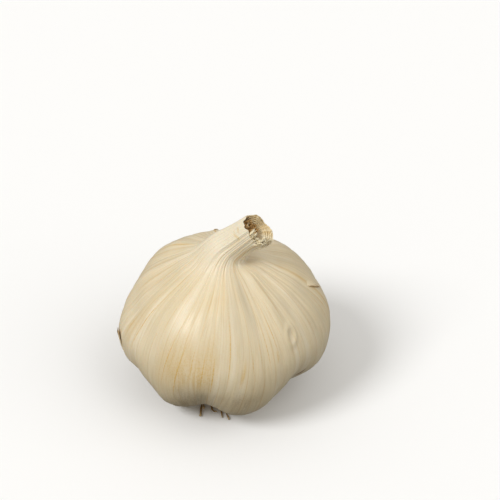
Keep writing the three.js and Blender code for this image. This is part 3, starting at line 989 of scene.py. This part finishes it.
def make_pith(material):
    """The dry pith, crumbled into knobby strands of many heights."""
    draw = random.Random(5)
    floor = meridian(RECESS_RISE)[1] + PITH_GAP
    mesh = bmesh.new()
    for _ in range(PITH_STRANDS):
        aside = draw.uniform(-PITH_BEYOND, PITH_BEYOND)
        angle = PITH_SIDE + PITH_SPREAD * aside
        r = (PITH_RADIUS if abs(aside) < 1 else PITH_RADIUS_BEYOND) * math.sqrt(draw.random())
        top = CUT_HEIGHT + draw.uniform(*PITH_TOPS)
        foot = r * Vector((math.cos(angle), math.sin(angle), 0)) + floor * UP
        tip = foot + Vector((draw.uniform(-0.3, 0.3), draw.uniform(-0.3, 0.3), top - floor))
        knee = foot.lerp(tip, 0.8) + Vector((draw.uniform(-0.2, 0.2), draw.uniform(-0.2, 0.2), 0))
        thick = draw.uniform(0.16, 0.36) * MM
        phase = draw.uniform(0, TURN)

        def radius_at(share):
            knobs = 0.25 * math.sin(38 * share + phase)
            return thick * (1 + knobs) * (1 - 0.5 * ease(share, 0.93, 1))

        add_strand(mesh, smooth_line([placed(p) for p in (foot, knee, tip)], 12), radius_at, 7)
    make_piece("pith_strands", mesh, material, "dry_pith", "neck_pith")


def make_shreds(material):
    """Torn shreds of skin that curl out of the edge of the cut, most of them on its lower side: each
    is a crumpled ribbon with a frayed end."""
    draw = random.Random(12)
    mesh = bmesh.new()
    for i in range(SHREDS):
        at = SHREDS_FROM + draw.gauss(0, 0.6)
        inside = draw.uniform(0.0, 1.5)
        length = draw.uniform(0.9, 2.1)
        half_width = draw.uniform(0.04, 0.09)
        curl = draw.uniform(-0.5, 0.8)
        swing = draw.uniform(-0.25, 0.25)
        seed = 11.3 * i

        def place(across, along):
            x = 2 * across - 1
            frayed = along * (1 + 0.45 * noise.noise(Vector((2.6 * x, seed, 0))) * along)
            angle = at + x * half_width * (1 - 0.5 * along) + swing * frayed * frayed
            crumple = 0.3 * noise.noise(Vector((1.6 * x, seed, 2.6 * along))) * ease(along, 0, 0.5)
            up = length * (frayed - 0.45 * max(0, curl) * frayed * frayed)
            up += 0.9 * min(1, 3 * frayed) - SHRED_SUNK
            out = -inside + curl * frayed * frayed + crumple
            return placed(rim_point(angle, up, out))

        add_sheet(mesh, 5, 10, SHRED_THICKNESS * MM, place)
    make_piece("torn_shreds", mesh, material, "inner_leaf")


def make_fibres(material):
    """Fine dry fibres that stand out of the torn edge."""
    draw = random.Random(3)
    mesh = bmesh.new()
    for _ in range(FIBRES):
        at = SHREDS_FROM + draw.gauss(0, 0.8)
        inside = draw.uniform(0.2, 1.6)
        swing = draw.uniform(-0.3, 0.3)
        out = draw.uniform(-0.3, 0.9)
        up = draw.uniform(0.3, 1.1)
        points = [
            placed(rim_point(at, -1, -inside)),
            placed(rim_point(at + 0.3 * swing, 0.4 * up, -inside + 0.3 * out)),
            placed(rim_point(at + swing, up, -inside + out)),
        ]
        add_strand(mesh, smooth_line(points, 5), lambda share: FIBRE_RADIUS * MM * (1 - 0.6 * share), 4)
    make_piece("cut_fibres", mesh, material, "inner_leaf")


def make_flakes(material):
    """Loose flakes of the outermost skin: each is sunk in the skin at its foot, and its tip stands off."""
    mesh = bmesh.new()
    for at, half_width, foot, tip, lift, taper, slope in FLAKES:

        def place(across, along):
            narrowing = math.copysign(1 - taper * along * along, tip - foot)
            x = 2 * across - 1
            angle = math.radians(at + x * half_width * narrowing)
            frayed = 0.12 * noise.noise(Vector((6 * x, at, 0))) * along
            rise = mix(foot, tip, along + frayed) + slope * x * along
            skin = fine_relief((angle - SEAM) / TURN % 1, rise)
            stand = 0.2 * ease(along, 0, 0.7) + lift * along**3.5
            stand -= FLAKE_SUNK + FLAKE_CURVE * x * x * (1 - along)
            return placed(skin_point(rise, angle, proud=skin + stand))

        add_sheet(mesh, 14, 10, FLAKE_THICKNESS * MM, place)
    make_piece("loose_flakes", mesh, material, "outer_skin")


def make_roots(material):
    """The dry roots: five long ones at the front and short stubs all over the plate."""
    mesh = bmesh.new()
    draw = random.Random(8)
    for radius, *points in LONG_ROOTS:
        phase = draw.uniform(0, 6)

        def radius_at(share):
            knobs = 0.12 * math.sin(13 * share + phase) + 0.1 * math.sin(29 * share + 2 * phase)
            return radius * MM * (1 - 0.3 * share + knobs)

        line = smooth_line([(Vector(p) + MIDDLE) * MM for p in points], 10)
        add_strand(mesh, line, radius_at, 10)
    for i in range(STUBS):
        angle = TURN * ((i * STUB_STEP) % 1) + 0.3 * draw.random()
        reach = PLATE_RADIUS * math.sqrt(draw.uniform(0.1, 0.75))
        length = draw.uniform(1.0, 2.6)
        turned = angle + draw.uniform(-0.8, 0.8)
        foot = Vector((reach * math.cos(angle) + ROOT_OFFSET, reach * math.sin(angle), PLATE_BOTTOM + 1))
        way = Vector((math.cos(turned), math.sin(turned), 0))
        knee = foot + 0.3 * length * way
        knee.z = PLATE_BOTTOM - 0.3
        tip = knee + length * way
        tip.z = draw.uniform(0.6, 1.4)
        thick = draw.uniform(0.2, 0.42) * MM
        line = smooth_line([(p + MIDDLE) * MM for p in (foot, knee, tip)], 5)
        add_strand(mesh, line, lambda share: thick * (1 - 0.45 * share), 7)
    make_piece("dry_roots", mesh, material, "dry_root", "root_plate")


def make_plate(material):
    """The corky root plate in the hollow under the bulb."""
    profile = [
        (0, PLATE_BOTTOM + 0.5),
        (PLATE_RADIUS * 0.4, PLATE_BOTTOM + 0.2),
        (PLATE_RADIUS * 0.8, PLATE_BOTTOM),
        (PLATE_RADIUS, PLATE_BOTTOM + 0.7),
        (PLATE_RADIUS, PLATE_TOP - 0.3),
        (PLATE_RADIUS - 0.5, PLATE_TOP),
        (0, PLATE_TOP),
    ]
    line = smooth_line([Vector(p) for p in profile], 6)
    mesh = bmesh.new()

    def place(turn, share):
        angle = TURN * turn
        r, z = line[round(share * (len(line) - 1))]
        r = max(r, 0) * (1 + 0.03 * math.cos(5 * angle + 1))
        point = Vector((r * math.cos(angle), r * math.sin(angle), z))
        point.z += 0.25 * noise.noise(point * 1.3) * ease(PLATE_TOP - z, 0.2, 0.8) * min(1, r)
        return placed(point)

    wrap(mesh, 96, len(line) - 1, place)
    make_piece("root_plate_cork", mesh, material, "dry_root", "root_plate")


# The stage

def make_stage():
    """A plain pale floor under a soft studio light: a broad key from the upper left, in front, a weak
    fill from the right, and a sky that is weaker from below."""
    mesh = bmesh.new()
    bmesh.ops.create_grid(mesh, x_segments=1, y_segments=1, size=FLOOR_SIZE / 2)
    data = bpy.data.meshes.new("floor")
    mesh.to_mesh(data)
    mesh.free()
    board = new_material("matt white board", Base_Color=linear(BOARD_WHITE), Roughness=0.9)[0]
    data.materials.append(board)
    floor = bpy.data.objects.new("floor", data)
    bpy.context.scene.collection.objects.link(floor)
    # The bulb isn't lit by the floor, as it isn't in the photograph, where it is darker low down.
    floor.visible_diffuse = False
    floor.visible_glossy = False
    floor.visible_shadow = False

    for name, (azimuth, elevation, spread, strength) in LAMPS.items():
        light = bpy.data.lights.new(name, "SUN")
        light.angle = math.radians(spread)
        light.energy = strength
        lamp = bpy.data.objects.new(name, light)
        turned = Matrix.Rotation(math.radians(azimuth), 3, "Z")
        raised = Matrix.Rotation(-math.radians(elevation), 3, "Y")
        towards = turned @ raised @ Vector((1, 0, 0))
        lamp.rotation_euler = (-towards).to_track_quat("-Z", "Y").to_euler()
        bpy.context.scene.collection.objects.link(lamp)

    world = bpy.data.worlds.new("studio")
    world.use_nodes = True
    tree = world.node_tree
    direction = add_node(tree, "TexCoord").outputs["Generated"]
    height = add_node(tree, "SeparateXYZ", links={0: direction}).outputs[2]
    strength = add_node(tree, "MapRange", {1: -0.7, 2: 0.5, 3: SKY_BELOW, 4: SKY_ABOVE}, {0: height})
    tree.links.new(strength.outputs[0], tree.nodes["Background"].inputs["Strength"])
    tree.nodes["Background"].inputs["Color"].default_value = linear(SKY_WHITE)
    bpy.context.scene.world = world
    bpy.context.scene.view_settings.view_transform = "Standard"


def make_camera():
    """The photograph's view: from the front, looking down, with the bulb where the photograph has it."""
    right = Vector((1, 0, 0))
    ahead = Vector((0, math.cos(CAMERA_ELEVATION), -math.sin(CAMERA_ELEVATION)))
    above = right.cross(ahead)
    distance = LENS / SENSOR * PHOTO_SIZE * PHOTO_MM_PER_PIXEL
    to_right = (PHOTO_SIZE / 2 - BULB_PIXEL[0]) * PHOTO_MM_PER_PIXEL
    down = (PHOTO_SIZE / 2 - BULB_PIXEL[1]) * PHOTO_MM_PER_PIXEL
    aim = BULB_MIDDLE + to_right * right - down * above
    data = bpy.data.cameras.new("camera")
    data.lens = LENS
    data.sensor_width = SENSOR
    data.clip_start = 0.05
    camera = bpy.data.objects.new("camera", data)
    camera.location = (aim - distance * ahead) * MM
    camera.rotation_euler = ahead.to_track_quat("-Z", "Y").to_euler()
    bpy.context.scene.collection.objects.link(camera)
    bpy.context.scene.camera = camera


make_camera()
make_stage()
make_skin(skin_material())
make_flakes(dry_leaf_material("loose skin", SKIN_IVORY, SKIN_CREAM, LEAF_BROWN, 0.75))
make_inner_leaves(dry_leaf_material("dry inner leaf", LEAF_PALE, LEAF_TAN, LEAF_TAN, 0.9))
make_pith(crumbly_material("dry pith", PITH_TAN, PITH_BROWN, 0.35, 0.12))
make_shreds(dry_leaf_material("torn skin", TORN_WHITE, TORN_IVORY, TORN_WHITE, 0.5))
make_fibres(dry_leaf_material("dry fibre", TORN_IVORY, LEAF_PALE, TORN_WHITE, 0.5))
make_roots(root_material())
make_plate(crumbly_material("root cork", CORK_TAN, CORK_DARK, 0.9, 0.3))
